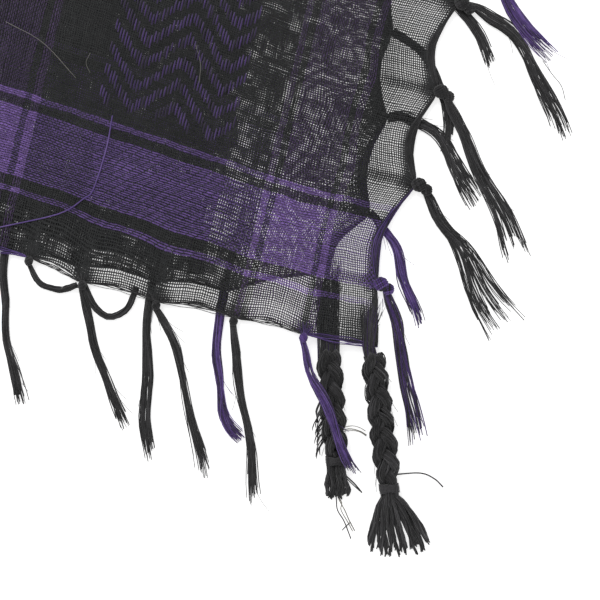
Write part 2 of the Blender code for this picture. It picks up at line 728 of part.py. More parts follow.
def make_scarf():
    for obj in list(bpy.data.objects):
        bpy.data.objects.remove(obj, do_unlink=True)
    collection = bpy.data.collections.new("scarf")
    bpy.context.scene.collection.children.link(collection)
    gauze = cotton("cotton_gauze", CHARCOAL)
    yarn = cotton("cotton_yarn", CHARCOAL_TWISTED)
    rng = random.Random(7)
    edges = make_edges()
    make_panels(edges, gauze, collection)
    make_under_fold(gauze, collection)

    laid = []
    for name in ("second_hem", "second_side"):
        fringe = Fringe(edges[name], SECOND_STRANDS, SECOND_SHARES, [], rng)
        add_object(name + "_fringe", fringe.build(), yarn, collection)
        laid += fringe.laid

    bound = plait("back_plait", BACK_NECK, FLOOR_GAP, BACK_PLAIT, yarn, collection)
    root = brush("back_brush", bound, *BACK_BRUSH, yarn, collection)
    end, heading, middle = bound
    plait_top = middle + PLAIT_WEAVE + PLAIT_STRAND[1] / 2
    laid.append((BACK_PLAIT[0], end, PLAIT_SWING + PLAIT_STRAND[0] / 2, plait_top))
    laid.append((end, root + heading * BACK_BRUSH[0], BINDING_WIDTH / 2, FLOOR_GAP + BINDING_HEIGHT))

    for name in ("top_hem", "top_side"):
        fringe = Fringe(edges[name], TOP_STRANDS, TOP_SHARES, laid, rng)
        add_object(name + "_fringe", fringe.build(), yarn, collection)
    bound = plait("front_plait", FRONT_NECK, WALL + REST_GAP, FRONT_PLAIT, yarn, collection)
    brush("front_brush", bound, *FRONT_BRUSH, yarn, collection)


make_scarf()
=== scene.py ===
"""Looks of a square gauze scarf that lies folded in quarters, seen from straight above.

Lengths are millimetres from the front corner of the top layer, with x along the hem (the cloth lies on
its negative side) and y up the side edge. They become metres from the part's origin where a mesh is made.
"""

import math
import random
from collections import namedtuple
from functools import partial

import bpy
from mathutils import Matrix, Vector, noise


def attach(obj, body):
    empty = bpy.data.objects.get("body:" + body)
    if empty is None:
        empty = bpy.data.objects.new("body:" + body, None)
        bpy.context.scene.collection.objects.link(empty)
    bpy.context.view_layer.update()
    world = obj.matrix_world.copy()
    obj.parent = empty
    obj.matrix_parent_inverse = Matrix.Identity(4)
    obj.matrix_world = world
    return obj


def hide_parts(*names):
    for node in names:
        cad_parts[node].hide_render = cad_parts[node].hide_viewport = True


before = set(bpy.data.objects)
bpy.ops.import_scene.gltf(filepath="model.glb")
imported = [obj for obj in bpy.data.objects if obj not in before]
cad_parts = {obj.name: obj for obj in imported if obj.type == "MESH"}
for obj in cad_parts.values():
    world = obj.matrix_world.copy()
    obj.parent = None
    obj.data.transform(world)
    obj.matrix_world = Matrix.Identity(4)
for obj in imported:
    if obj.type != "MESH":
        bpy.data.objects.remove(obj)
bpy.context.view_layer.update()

MM = 0.001

# The photograph: where the front corner is in it, and how the scarf is turned
IMAGE_SIDE = 600
PIXEL = 0.42
CORNER_PIXEL = Vector((377, 347))
TURN = math.radians(13.3)
LENS = 85.0
SENSOR = 36.0

# Cloth
FOLDED_SIDE = 515.0
THREAD_PITCH = 0.95
THREAD_FILL = 0.44  # share of its place that a thread fills, more where it swells
THREAD_SOFTNESS = 0.22  # how far its edge fades, as a share of half its place
CLOTH_WALL = 0.3
LAYER = 1.0  # room for one layer in the solids
LAYER_GAP = 0.35
EDGE_PULL = 45.0
MARGIN_RISE = 0.4
MARGIN_WIDTH = (30.0, 40.0)
MARGIN_DEPTH = (10.0, 18.0)

# Hidden layers: how far in their edges lie, how much they lift the layers above, and over what stretch
HIDDEN_SIDE = 76.0
HIDDEN_HEM = 20.0
HIDDEN_FOLD = 2.6
HIDDEN_RISE = 2.7
SIDE_SLOPE = (62.0, 79.0)
HEM_SLOPE = (7.0, 20.0)

# Grid of the cloth
FINE_REACH = 185.0  # the grid is fine this far from the front corner
FINE_STEP = 1.7
COARSE_STEP = 5.0

# How much looser threads lie in the windows, and how much closer elsewhere
WINDOW_LOOSER = 0.17
RIM_CLOSER = 1.1
HEM_CLOSER = 0.5
KNOT_CLOSER = 0.7
KNOT_DRAWS = 0.5
CORNER_CLOSER = 0.7
PATCHINESS = 0.14

# How the cloth rolls over at the folds
FOLD_ROUND = 2.4
FOLD_ARC = 7.0
FOLD_STEPS = 8
FOLD_UNDER = 3.0

# Woven pattern, along one repeat from the side edge and from the hem
REPEAT = 134.0
SIDE_STRIPES = [(27.5, 30.5), (34.0, 57.0), (60.0, 62.5)]
HEM_STRIPES = [(17.0, 20.0), (24.5, 53.0), (57.0, 60.0)]
BLOCK_SIDE = (79.0, 138.5)
BLOCK_HEM = (62.5, 136.5)
HEM_SLANT = 0.092  # the hem stripes climb away from the hem past this distance
SLANT_START = 45.0
SLANT_END = 190.0

# Zigzag rows of floats in each block
FLOAT_PITCH = 1.3
FLOAT_LENGTH = 5.2
FLOAT_RADII = (0.2, 0.32, 0.2)
FLOAT_ROW = 9.5
ZIGZAG_PERIOD = 35.0
ZIGZAG_VALLEY = 9.0  # from the block's side
ZIGZAG_HEIGHT = 18.0

# Fringe
YARN = 0.2
STEPS = 18
KNOT_ROOT = 3.2
RIM_WIDTH = 1.4
RIM_EXTRA = 2.6
FLOOR_GAP = 0.3
TASSEL_LENGTH = 66.0
LAST_KNOT = 503.0
FULL_COUNT = 200.0  # tassels nearer the front corner than this have all their yarns
TASSEL_YARNS = (52, 22)  # yarns of a tassel near the corner, and of one further away
CORD_YARNS = 32
FAN_THREADS = 14
HEM_LEAN = Vector((0.36, -0.93))
SIDE_LEAN = Vector((0.74, -0.67))

# Where the purple tassels are in each repeat: from where, and for how far
PURPLE_AT_HEM = (27.5, 20)
PURPLE_AT_SIDE = (17, 43)
MIXED_TASSEL = ("top_side", 26)

# How far a knot's middle and the tassel below it lie past the edge, and the lobe of a side knot past it
KNOT_OUT = 1.4
TASSEL_OUT = 2.6
LOBE_OUT = 3.8

# Length, width and height of a knot
HEM_KNOT = (4.6, 3.9, 2.9)
SIDE_KNOT = (7.0, 6.4, 3.8)
SIDE_LOBE = (5.2, 5.4, 3.3)

# Knots: distance along the edge, how far the edge reaches out there
KNOTS = {
    "top_hem": [(31, 1.8), (61, 1.8), (94, 2.8), (126, 1.8), (150, -3.0)],
    "top_side": [(26, -6.0), (70, 0.0), (110, 0.0), (148, 0.0)],
    "second_hem": [(68, -8.0), (98, -5.0), (130, -4.0), (161, -3.0)],
    "second_side": [(54, -16.0), (94, -18.0), (130, -24.0), (168, -24.0)],
}

# Tassels by their knot: middle point, end point, how far apart its clumps end, how many clumps
TASSELS = {
    "top_hem": {
        31: ((-17, -27), (4, -54), 2.0, 2),
        61: ((-50, -35), (-35, -73), 3.0, 3),
        94: ((-78, -28), (-58, -70), 3.5, 3),
        126: ((-114, -28), (-96, -55), 3.0, 2),
    },
    "top_side": {
        26: ((10, 1), (25, -36), 5.5, 3),
        70: ((22, 50), (49, 22), 17.0, 4),
        110: ((23, 84), (48, 53), 8.5, 3),
        148: ((29, 137), (54, 105), 5.0, 3),
        188: ((13, 161), (42, 137), 4.0, 2),
    },
    "second_hem": {
        68: ((-61, -31), (-46, -51), 2.0, 2),
        98: ((-92, -32), (-82, -65), 3.0, 2),
        161: ((-153, -29), (-138, -58), 2.5, 2),
    },
    "second_side": {
        54: ((-1, 40), (15, 12), 2.0, 2),
        94: ((2, 93), (27, 68), 5.0, 3),
        130: ((-2, 116), (9, 87), 2.0, 2),
        168: ((-1, 149), (19, 126), 3.0, 2),
    },
}

# Cords that loop back under the hem, by their knot
LOOPS = {
    "top_hem": {150: [(-145, -5.5), (-140, -7.2), (-135, -7.2), (-131.5, -5.8), (-128, -3.5)]},
    "second_hem": {130: [(-124, -5), (-119, -11), (-112, -13.5), (-106, -9), (-104.5, -3), (-104, 1.5)]},
}

# Plaits
PLAIT_SWING = 3.2
PLAIT_WEAVE = 2.0
PLAIT_STRAND = (5.7, 4.0)
PLAIT_PERIOD = 27.0
PLAIT_YARN = 0.38
PLAIT_YARNS = 44  # in each of its three strands
PLAIT_RING = 1.25
PLAIT_MIDDLE = 4.0
PLAIT_COVER = 6.7  # half the room that the back plait takes below the tassels laid over it
PLAIT_TOP = 7.5
BINDING_LENGTH = 6.0
BINDING_ROUND = 4.0
BINDING_STEPS = 14  # in one turn
BACK_NECK = [Vector((-27.0, 23.0)), Vector((-20.4, -2.5))]
NECK_COVER = (8.0, 17.0)
NECK_TOP = 3.2
BACK_PLAIT = [Vector((-19.3, -6.5)), Vector((-6.7, -48.0))]
FRONT_PLAIT = [Vector((-1.0, -3.5)), Vector((17.5, -54.0))]

# Yarn finishes, by their place in the list of materials
CHARCOAL, PURPLE, PALE, SOOT, SLATE, PLUM, LILAC = range(7)
YARN_COLOURS = [
    ("charcoal", "#161617", "#313032"),
    ("purple", "#331c57", "#5c4186"),
    ("pale", "#7f7d78", "#a8a59e"),
    ("soot", "#0c0c0d", "#1f1f20"),
    ("slate", "#252426", "#4b4a4c"),
    ("plum", "#201233", "#3c2759"),
    ("lilac", "#4d3480", "#7a60a6"),
]

# Threads that lie loose beside the fringe: finish, radius, route
LOOSE_BESIDE = [
    (SLATE, 0.3, [(19.0, -50.5), (29.7, -47.3), (36.0, -48.2), (40.5, -50.8)]),
    (PALE, 0.16, [(-7.5, -36.8), (-2.6, -34.6), (0.8, -34.6), (3.4, -35.4)]),
    (PALE, 0.2, [(-7.2, -38.0), (-3.2, -36.0), (1.2, -36.0), (4.3, -37.0)]),
    (PALE, 0.16, [(-6.8, -38.4), (-3.0, -36.6), (1.0, -36.3), (4.0, -37.3)]),
    (CHARCOAL, 0.3, [(-2.8, -53.6), (0.2, -55.8), (4.0, -58.0), (7.9, -60.9)]),
    (CHARCOAL, 0.22, [(-3.2, -53.9), (0.0, -56.4), (3.6, -58.6), (7.2, -60.6)]),
    (SLATE, 0.42, [(-5.2, -56.0), (-3.6, -60.5), (-2.2, -64.6)]),
    (PALE, 0.24, [(-4.3, -58.0), (-1.4, -65.0), (2.6, -69.8), (5.0, -73.0), (8.6, -77.2)]),
    (SLATE, 0.24, [(-4.0, -58.0), (-1.9, -66.2), (-0.4, -70.4), (3.4, -74.4), (7.8, -80.8)]),
    (PALE, 0.2, [(-2.2, -64.0), (0.6, -67.0), (1.0, -70.0), (5.2, -74.6), (7.8, -77.6)]),
    (SLATE, 0.22, [(3.4, -78.2), (4.6, -76.2), (6.0, -74.2)]),
    (CHARCOAL, 0.14, [(40.0, 133.0), (45.0, 128.5), (50.0, 124.5), (53.0, 119.1)]),
]

# Threads that lie loose on the top layer
LOOSE_ABOVE = [
    (LILAC, 0.26, [
        (-129.7, 68.6), (-129.0, 54.4), (-130.4, 36.9), (-133.6, 31.9), (-142.3, 23.4), (-165.6, 12.2),
    ]),
    (PALE, 0.08, [(-182.0, 96.4), (-165.0, 91.5), (-148.0, 80.2)]),
    (PALE, 0.08, [(-144.7, 91.8), (-145.4, 87.4), (-142.8, 83.6)]),
    (PALE, 0.08, [(-103.2, 106.0), (-99.0, 98.0), (-97.7, 90.0)]),
    (PALE, 0.07, [(-33.0, 66.0), (-29.0, 64.5), (-26.8, 61.0), (-28.0, 58.0)]),
]

rng = random.Random(11)


def any_angle():
    return rng.uniform(0, 6.28)


def ramp(low, high, value):
    """0 below low, 1 above high, with a soft slope between."""
    share = min(max((value - low) / (high - low), 0.0), 1.0)
    return share * share * (3 - 2 * share)


def shares(count):
    """Even steps from 0 to 1."""
    return [step / (count - 1) for step in range(count)]


def place(x, y, z):
    """Millimetres from the front corner, as metres from the part's origin."""
    return Vector((x + FOLDED_SIDE / 2, y - FOLDED_SIDE / 2, z)) * MM


def from_line(point, start, end):
    """Distance from a point to a stretch of line, and how far along it the nearest point is."""
    along = end - start
    share = min(max((point - start).dot(along) / along.length_squared, 0.0), 1.0)
    return (point - start.lerp(end, share)).length, share


def smoothed(points, steps):
    """More points, on a soft curve through the given ones."""
    ends = [points[0] * 2 - points[1]] + points + [points[-1] * 2 - points[-2]]
    result = []
    for before, a, b, after in zip(ends, ends[1:], ends[2:], ends[3:]):
        for i in range(steps):
            t = i / steps
            bend = (before * 2 - a * 5 + b * 4 - after) * t**2 + (a * 3 - before - b * 3 + after) * t**3
            result.append(a + ((b - before) * t + bend) / 2)
    return result + [points[-1]]


def second_under(x, y):
    """What the second layer lies on: the table at its edges, and the hidden layers further in."""
    return HIDDEN_RISE * ramp(*SIDE_SLOPE, -x) * ramp(*HEM_SLOPE, y)


def top_under(x, y):
    """The top layer lies on the second one, and goes over the neck of the back plait."""
    margin = max(1 - ramp(*MARGIN_WIDTH, -x), 1 - ramp(*MARGIN_DEPTH, y))
    cover = 1 - ramp(*NECK_COVER, from_line(Vector((x, y)), *BACK_NECK)[0])
    lying = second_under(x, y) + LAYER + LAYER_GAP + MARGIN_RISE * margin
    return lying + cover * (NECK_TOP - LAYER - MARGIN_RISE * margin)


class Edge:
    """A free edge of one layer, measured along from the front corner and outward from its axes."""

    def __init__(self, name, along, outward, corner, pitch, depth, rim_extra, under):
        self.name = name
        self.along = Vector(along)
        self.outward = Vector(outward)
        self.corner = corner
        self.depth = depth
        self.rim_extra = rim_extra
        self.under = under
        self.knots = list(KNOTS[name])
        repeated = KNOTS[name][-2][1] if name == "top_hem" else KNOTS[name][-1][1]
        while self.knots[-1][0] + pitch < LAST_KNOT:
            self.knots.append((self.knots[-1][0] + pitch, repeated))

    def stretch(self, station):
        """The fixed points on both sides of a station, and how far it is between them."""
        fixed = [self.corner] + self.knots + [(FOLDED_SIDE, self.knots[-1][1])]
        low = max([0] + [i for i in range(len(fixed) - 1) if fixed[i][0] <= station])
        start, end = fixed[low][0] + KNOT_ROOT / 2, fixed[low + 1][0] - KNOT_ROOT / 2
        share = min(max((station - start) / (end - start), 0.0), 1.0)
        return fixed[low], fixed[low + 1], share

    def outer(self, station):
        """How far the edge reaches out: it is drawn in between knots."""
        low, high, share = self.stretch(station)
        depth = self.depth if high[0] < FOLDED_SIDE else 0.0
        if low == (0.0, 0.0):
            depth = 0.0  # The front corner hangs slack
        return low[1] + (high[1] - low[1]) * share - depth * math.sin(math.pi * share)

    def rim(self, station):
        """Width of the gathered threads, which is greatest just past a knot."""
        share = self.stretch(station)[2]
        return RIM_WIDTH + self.rim_extra * (1 - ramp(0.3, 0.85, share))

    def point(self, station, out):
        return self.along * station + self.outward * out


def make_edges():
    hem, side = ((-1, 0), (0, -1)), ((0, 1), (1, 0))
    # Name, along, outward, corner, pitch of the knots, depth between them, extra rim, what it lies on
    rows = [
        ("top_hem", *hem, (0.0, 0.0), 31, 2.0, 0.0, top_under),
        ("top_side", *side, (0.0, 0.0), 40, 5.0, RIM_EXTRA, top_under),
        ("second_hem", *hem, (27.0, -24.5), 31, 2.0, 0.0, second_under),
        ("second_side", *side, (25.0, -26.5), 40, 4.5, RIM_EXTRA, second_under),
    ]
    return {row[0]: Edge(*row) for row in rows}


def make_camera():
    """Straight above, turned as the scarf is turned in the photograph."""
    right = Vector((math.cos(TURN), math.sin(TURN)))
    up = Vector((-math.sin(TURN), math.cos(TURN)))
    offset = (Vector((IMAGE_SIDE, IMAGE_SIDE)) / 2 - CORNER_PIXEL) * PIXEL
    centre = right * offset.x - up * offset.y
    distance = IMAGE_SIDE * PIXEL * LENS / SENSOR
    data = bpy.data.cameras.new("camera")
    data.lens = LENS
    data.sensor_width = SENSOR
    data.clip_start = 0.02
    camera = bpy.data.objects.new("camera", data)
    camera.location = place(centre.x, centre.y, distance)
    camera.rotation_euler = (0.0, 0.0, TURN)
    bpy.context.collection.objects.link(camera)
    bpy.context.scene.camera = camera


def make_lights():
    """A wide soft lamp above and a bright even room, as over a light table."""
    data = bpy.data.lights.new("soft_lamp", "AREA")
    data.shape = "DISK"
    data.size = 0.9
    data.energy = 9.0
    lamp = bpy.data.objects.new("soft_lamp", data)
    lamp.location = (-0.45, 0.55, 1.1)
    lamp.rotation_euler = (Vector((0.1, -0.15, 0)) - lamp.location).to_track_quat("-Z", "Y").to_euler()
    bpy.context.collection.objects.link(lamp)
    world = bpy.data.worlds.new("room")
    world.use_nodes = True
    background = world.node_tree.nodes["Background"]
    background.inputs["Color"].default_value = (1.0, 1.0, 1.0, 1.0)
    background.inputs["Strength"].default_value = 0.55
    bpy.context.scene.world = world
    bpy.context.scene.view_settings.view_transform = "Standard"


def linear(code):
    """A hex colour as the eye sees it, as linear values."""
    parts = [int(code[i:i + 2], 16) / 255 for i in (1, 3, 5)]
    return [c / 12.92 if c <= 0.04045 else ((c + 0.055) / 1.055) ** 2.4 for c in parts] + [1.0]


def add_node(tree, kind, inputs=(), output=0, **settings):
    """Adds a node with its settings and returns one of its outputs. An input is a value or an output, and
    a kind in capitals is an operation of a Math node."""
    if kind.isupper():
        kind, settings["operation"] = "Math", kind
    node = tree.nodes.new("ShaderNode" + kind)
    for key, value in settings.items():
        setattr(node, key, value)
    for key, value in inputs.items() if isinstance(inputs, dict) else enumerate(inputs):
        if isinstance(value, bpy.types.NodeSocket):
            tree.links.new(value, node.inputs[key])
        elif value is not None:
            node.inputs[key].default_value = value
    return node.outputs[output]


def new_material(name, roughness, sheen):
    """A dull fibre finish: cotton has no gloss, only a faint pale sheen from its loose hairs."""
    material = bpy.data.materials.new(name)
    material.use_nodes = True
    tree = material.node_tree
    shader = tree.nodes["Principled BSDF"]
    shader.inputs["Roughness"].default_value = roughness
    shader.inputs["Metallic"].default_value = 0.0
    shader.inputs["IOR"].default_value = 1.5
    shader.inputs["Specular IOR Level"].default_value = 0.25
    shader.inputs["Sheen Weight"].default_value = sheen
    shader.inputs["Sheen Roughness"].default_value = 0.6
    return material, tree, shader


def stripe_ramp(tree, position, stripes):
    """1 on a stripe and 0 between stripes, repeated along the cloth."""
    share = add_node(tree, "MULTIPLY", (position, 1 / REPEAT))
    node = tree.nodes.new("ShaderNodeValToRGB")
    tree.links.new(add_node(tree, "FRACT", (share,)), node.inputs[0])
    node.color_ramp.interpolation = "CONSTANT"
    stops = node.color_ramp.elements
    stops[0].color = (0, 0, 0, 1)
    stops.remove(stops[1])
    for start, end in stripes:
        stops.new(start / REPEAT).color = (1, 1, 1, 1)
        stops.new(end / REPEAT).color = (0, 0, 0, 1)
    return node.outputs["Color"]


def gauze(name, charcoal, purples):
    """Plain-woven cotton gauze, dyed in the yarn. Single threads under 0.5 mm thick stand 0.95 mm apart,
    uneven and a little crooked, so that one layer is sheer and two are nearly dark."""
    material, tree, shader = new_material(name, 0.92, 0.2)
    add = partial(add_node, tree)
    weave = add("UVMap", uv_map="weave")
    parts = tree.nodes.new("ShaderNodeSeparateXYZ")
    tree.links.new(weave, parts.inputs[0])
    metres = (parts.outputs[0], parts.outputs[1])
    millimetres = [add("MULTIPLY", (value, 1 / MM)) for value in metres]
    fill = add("Attribute", output=2, attribute_name="thread_fill")
    indices, covers, profiles, colours, stripes = [], [], [], [], []
    for number, (pattern, purple) in enumerate(zip((SIDE_STRIPES, HEM_STRIPES), purples)):
        across, along = millimetres[number], millimetres[1 - number]
        # Threads wander over about 10 mm, and they bunch and part over about 3 mm
        reading = {"Vector": weave, "W": 3.0 * number, "Scale": 100.0, "Detail": 2.0}
        wander = add("TexNoise", reading, noise_dimensions="4D")
        bunch = add("TexNoise", {"W": across, "Scale": 0.33, "Detail": 0.0}, noise_dimensions="1D")
        position = add("MULTIPLY", (across, 1 / THREAD_PITCH))
        position = add("MULTIPLY_ADD", (wander, 2.0, position))
        position = add("MULTIPLY_ADD", (bunch, 0.5, position))
        index = add("FLOOR", (position,))
        seed = add("ADD", (index, 31.0 * number))
        own = add("TexWhiteNoise", {"W": seed}, noise_dimensions="1D")
        # No thread lies quite in the middle of its place
        aside = add("MULTIPLY_ADD", (own, 0.16, -0.58))
        off = add("ADD", (add("FRACT", (position,)), aside))
        off = add("MULTIPLY", (add("ABSOLUTE", (off,)), 2.0))
        # Slubs: each thread swells and thins every 2 mm or so
        lane = add("CombineXYZ", (add("MULTIPLY", (index, 3.7)), along))
        slub = add("TexNoise", {"Vector": lane, "Scale": 0.5, "Detail": 2.0})
        half = add("MULTIPLY_ADD", (own, 0.1, 0.64))
        half = add("MULTIPLY_ADD", (slub, 0.8, half))
        half = add("MULTIPLY", (half, fill))
        cover = add("MapRange", {
            "Value": off,
            "From Min": add("ADD", (half, -THREAD_SOFTNESS)),
            "From Max": add("ADD", (half, THREAD_SOFTNESS)),
            "To Min": 1.0, "To Max": 0.0,
        }, interpolation_type="SMOOTHSTEP")
        square = add("MULTIPLY", (off, off))
        round_top = add("SUBTRACT", (1.0, square))
        centre = add("ADD", (index, 0.5))
        centre = add("MULTIPLY", (centre, THREAD_PITCH))
        stripe = stripe_ramp(tree, centre, pattern)
        colour = add("MixRGB", (stripe, linear(charcoal), linear(purple)))
        value = add("MULTIPLY_ADD", (own, 0.26, 0.07))
        value = add("MULTIPLY_ADD", (slub, 1.6, value))
        colours.append(add("HueSaturation", {"Value": value, "Color": colour}))
        indices.append(index)
        covers.append(cover)
        profiles.append(add("MULTIPLY", (cover, round_top)))
        stripes.append(stripe)
    total = add("ADD", tuple(indices))
    plain = add("PINGPONG", (total, 1.0))
    # The hem's wide stripe is woven as a twill below each block, and shows more of its weft there
    fourth = add("FRACT", (add("MULTIPLY", (total, 0.25)),))
    twill = add("LESS_THAN", (fourth, 0.2))
    column = stripe_ramp(tree, millimetres[0], [BLOCK_SIDE])
    zone = add("MULTIPLY", (column, stripes[1]))
    warp_up = add("MixRGB", (zone, plain, twill))
    weft_hides = add("SUBTRACT", (1.0, warp_up))
    hidden = add("MULTIPLY", (covers[1], weft_hides))
    seen = add("SUBTRACT", (1.0, hidden))
    share = add("MULTIPLY", (covers[0], seen))
    cloth = add("MixRGB", (share, colours[1], colours[0]))
    # Faded in soft patches of about 17 mm, and brighter where purple crosses purple
    crossing = add("MULTIPLY", tuple(stripes))
    crossing = add("MULTIPLY_ADD", (crossing, 0.8, 1.0))
    crossing = add("MULTIPLY_ADD", (zone, 0.15, crossing))
    fade = add("TexNoise", {"Vector": weave, "Scale": 60.0, "Detail": 4.0, "Roughness": 0.7})
    value = add("MULTIPLY_ADD", (fade, 0.7, 0.65))
    value = add("MULTIPLY", (value, crossing))
    cloth = add("HueSaturation", {"Value": value, "Color": cloth})
    alpha = add("MAXIMUM", tuple(covers))
    rise = add("MULTIPLY_ADD", (warp_up, 0.5, 0.5))
    sink = add("MULTIPLY_ADD", (weft_hides, 0.5, 0.5))
    warp_height = add("MULTIPLY", (profiles[0], rise))
    weft_height = add("MULTIPLY", (profiles[1], sink))
    height = add("MAXIMUM", (warp_height, weft_height))
    normal = add("Bump", {"Strength": 0.8, "Distance": 0.3 * MM, "Height": height})
    tree.links.new(alpha, shader.inputs["Alpha"])
    tree.links.new(cloth, shader.inputs["Base Color"])
    tree.links.new(normal, shader.inputs["Normal"])
    return material


def twisted_cotton(name, colour, fade):
    """Soft two-ply cotton yarn: matt, with light and dark streaks where its fibres part."""
    material, tree, shader = new_material(name, 0.88, 0.2)
    add = partial(add_node, tree)
    spot = add("TexCoord", output=3)
    # Streaks of about 1 mm, patches of about 9 mm, and single fibres under 0.5 mm
    streak = add("TexNoise", {"Vector": spot, "Scale": 900.0, "Detail": 3.0, "Roughness": 0.7})
    patch = add("TexNoise", {"Vector": spot, "Scale": 110.0, "Detail": 1.0})
    total = add("MULTIPLY_ADD", (streak, 0.9, patch))
    share = add("MapRange", {"Value": total, "From Min": 0.65, "From Max": 1.25})
    base = add("MixRGB", (share, linear(colour), linear(fade)))
    tree.links.new(base, shader.inputs["Base Color"])
    fibres = add("TexNoise", {"Vector": spot, "Scale": 2600.0, "Detail": 2.0})
    normal = add("Bump", {"Strength": 0.5, "Distance": 0.12 * MM, "Height": fibres})
    tree.links.new(normal, shader.inputs["Normal"])
    return material


def make_floor():
    """A white light table, bright enough to lose its own shadows."""
    bpy.ops.mesh.primitive_grid_add(x_subdivisions=8, y_subdivisions=8, size=6.0, location=(0, 0, -0.0004))
    floor = bpy.context.object
    floor.name = "light_table"
    material = bpy.data.materials.new("opal_table")
    material.use_nodes = True
    shader = material.node_tree.nodes["Principled BSDF"]
    shader.inputs["Base Color"].default_value = linear("#f4f4f4")
    shader.inputs["Roughness"].default_value = 0.9
    shader.inputs["Emission Color"].default_value = (1.0, 1.0, 1.0, 1.0)
    shader.inputs["Emission Strength"].default_value = 0.62
    floor.data.materials.append(material)


def seat(obj, slot_name, *nodes):
    """Puts a finished piece in the frame, in the place of its solids."""
    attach(obj, "root")
    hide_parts(*nodes)


# Soft creases: start, end, half width, height
TOP_CREASES = [
    ((-3, 2), (-26, 20), 2.2, 0.3),
    ((-4, 4), (-12, 34), 2.0, 0.25),
    ((-6, 1), (-44, 7), 2.0, 0.25),
    ((-22, 60), (-60, 150), 6.0, 0.3),
    ((-80, 22), (-82, 190), 7.0, 0.25),
    ((-100, 8), (-92, 44), 4.0, 0.25),
    ((-150, 6), (-138, 60), 5.0, 0.25),
    ((-180, 70), (-60, 118), 8.0, 0.25),
    ((-260, 40), (-330, 210), 11.0, 0.3),
    ((-420, 30), (-400, 160), 9.0, 0.25),
    ((-480, 250), (-330, 380), 12.0, 0.35),
    ((-240, 330), (-180, 480), 11.0, 0.3),
    ((-60, 300), (-110, 450), 10.0, 0.3),
    ((-470, 440), (-360, 490), 9.0, 0.3),
]
SECOND_CREASES = [
    ((-30, 30), (-60, 60), 4.0, 0.2),
    ((-34, 90), (-70, 110), 5.0, 0.2),
    ((-150, 12), (-140, 50), 5.0, 0.2),
    ((-300, 20), (-290, 90), 8.0, 0.25),
    ((-36, 300), (-90, 320), 8.0, 0.25),
]
UNDER_CREASES = [
    ((-120, 40), (-200, 140), 8.0, -0.15),
    ((-400, 60), (-300, 260), 10.0, -0.15),
    ((-200, 300), (-260, 470), 10.0, -0.15),
]


def relief(x, y, seed, creases):
    """Soft uneven waves of a limp cloth, and its creases."""
    wave = 0.2 * noise.noise(Vector((x / 30, y / 30, seed)))
    wave += 0.09 * noise.noise(Vector((x / 9, y / 9, seed)))
    for start, end, half, height in creases:
        distance, share = from_line(Vector((x, y)), Vector(start), Vector(end))
        if distance < 2 * half:
            wave += height * math.sin(math.pi * (0.1 + 0.8 * share)) * (1 - ramp(0, 2 * half, distance))
    return wave


def sheet_mesh(name, columns, rows, shape):
    """A grid of cloth. shape gives each nominal point its place, its place in the weave and its fill."""
    bpy.ops.object.select_all(action="DESELECT")
    bpy.ops.mesh.primitive_grid_add(x_subdivisions=len(columns) - 1, y_subdivisions=len(rows) - 1, size=1.0)
    obj = bpy.context.object
    obj.name = name
    mesh = obj.data
    mesh.name = name
    while mesh.uv_layers:
        mesh.uv_layers.remove(mesh.uv_layers[0])
    fill = mesh.attributes.new("thread_fill", "FLOAT", "POINT")
    weave = []
    for vert in mesh.vertices:
        column = round((vert.co.x + 0.5) * (len(columns) - 1))
        row = round((vert.co.y + 0.5) * (len(rows) - 1))
        spot, threads, thickness = shape(columns[column], rows[row])
        vert.co = spot
        weave.append(threads)
        fill.data[vert.index].value = thickness
    layer = mesh.uv_layers.new(name="weave")
    for loop in mesh.loops:
        layer.data[loop.index].uv = weave[loop.vertex_index]
    if sum(face.normal.z for face in mesh.polygons) < 0:
        mesh.flip_normals()
    wall = obj.modifiers.new("wall", "SOLIDIFY")
    wall.thickness = CLOTH_WALL * MM
    wall.offset = 0.0
    bpy.ops.object.modifier_apply(modifier="wall")
    bpy.ops.object.shade_smooth()
    return obj


def fold_stations():
    """Grid lines of the cloth that goes over the fold and back under."""
    start = FOLDED_SIDE - FOLD_ROUND
    turning = [start + FOLD_ARC * i / FOLD_STEPS for i in range(1, FOLD_STEPS + 1)]
    return turning + [start + FOLD_ARC + FOLD_UNDER]


def folded(nominal, rest, low):
    """Where a point past the fold lies: how far out, and how high."""
    past = nominal - (FOLDED_SIDE - FOLD_ROUND)
    if past <= 0:
        return nominal, rest
    turn = min(past / FOLD_ARC, 1.0) * math.pi
    out = FOLDED_SIDE - FOLD_ROUND + FOLD_ROUND * math.sin(turn) - max(past - FOLD_ARC, 0.0)
    return out, (rest + low) / 2 + (rest - low) / 2 * math.cos(turn)


def stations_to(start, end):
    """Grid lines across the cloth, close together near the front corner."""
    result = [start]
    while result[-1] < end:
        result.append(result[-1] + (FINE_STEP if result[-1] < FINE_REACH else COARSE_STEP))
    result[-1] = end
    return result


